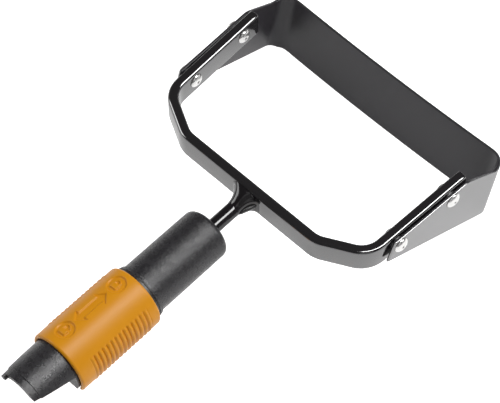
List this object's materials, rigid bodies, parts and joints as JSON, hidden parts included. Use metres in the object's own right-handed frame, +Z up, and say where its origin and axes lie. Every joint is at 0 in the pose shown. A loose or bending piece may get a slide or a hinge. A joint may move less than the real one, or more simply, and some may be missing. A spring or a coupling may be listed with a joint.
{
  "type": "stirrup hoe head",
  "caption": "Stirrup hoe head: steel loop blade riveted to a bent bar yoke, shank, plastic barrel and half-round coupling with a sliding locking sleeve.",
  "frame": {"origin": "on the handle axis, in the coupling core's rear shoulder face, at the mouth of the handle socket", "axes": "+Y along the handle axis from the handle towards the blade, +X along the blade, +Z up, away from the blade's cutting edge"},
  "size_m": [0.195, 0.3327, 0.0758],
  "materials": {
    "blade_steel": "satin dark grey paint on spring steel",
    "black_paint": "gloss black powder coat",
    "rivet_steel": "bright zinc plated",
    "charcoal_plastic": "fine grained glass-filled plastic",
    "bush_plastic": "natural nylon",
    "pin_steel": "ground steel",
    "ring_steel": "spring steel",
    "seal_rubber": "nitrile rubber",
    "sleeve_plastic": "satin orange plastic"
  },
  "bodies": {
    "head": {"stirrup_blade": "blade_steel", "yoke_bar": "black_paint", "shank_rod": "black_paint", "weld_bead_left": "black_paint", "weld_bead_right": "black_paint", "rivet_rear_left": "rivet_steel", "rivet_front_left": "rivet_steel", "rivet_rear_right": "rivet_steel", "rivet_front_right": "rivet_steel", "washer_rear_left": "rivet_steel", "washer_front_left": "rivet_steel", "washer_rear_right": "rivet_steel", "washer_front_right": "rivet_steel", "barrel": "charcoal_plastic", "front_bush": "bush_plastic", "coupling_core": "charcoal_plastic", "tang_cross_pin": "pin_steel", "snap_ring": "ring_steel", "sleeve_seal": "seal_rubber"},
    "sleeve": {"locking_sleeve": "sleeve_plastic"}
  },
  "joints": [
    {"name": "sleeve_slide", "type": "slide", "parent": "head", "child": "sleeve", "axis": [0, -1, 0], "range_m": [0, 0.029]}
  ]
}
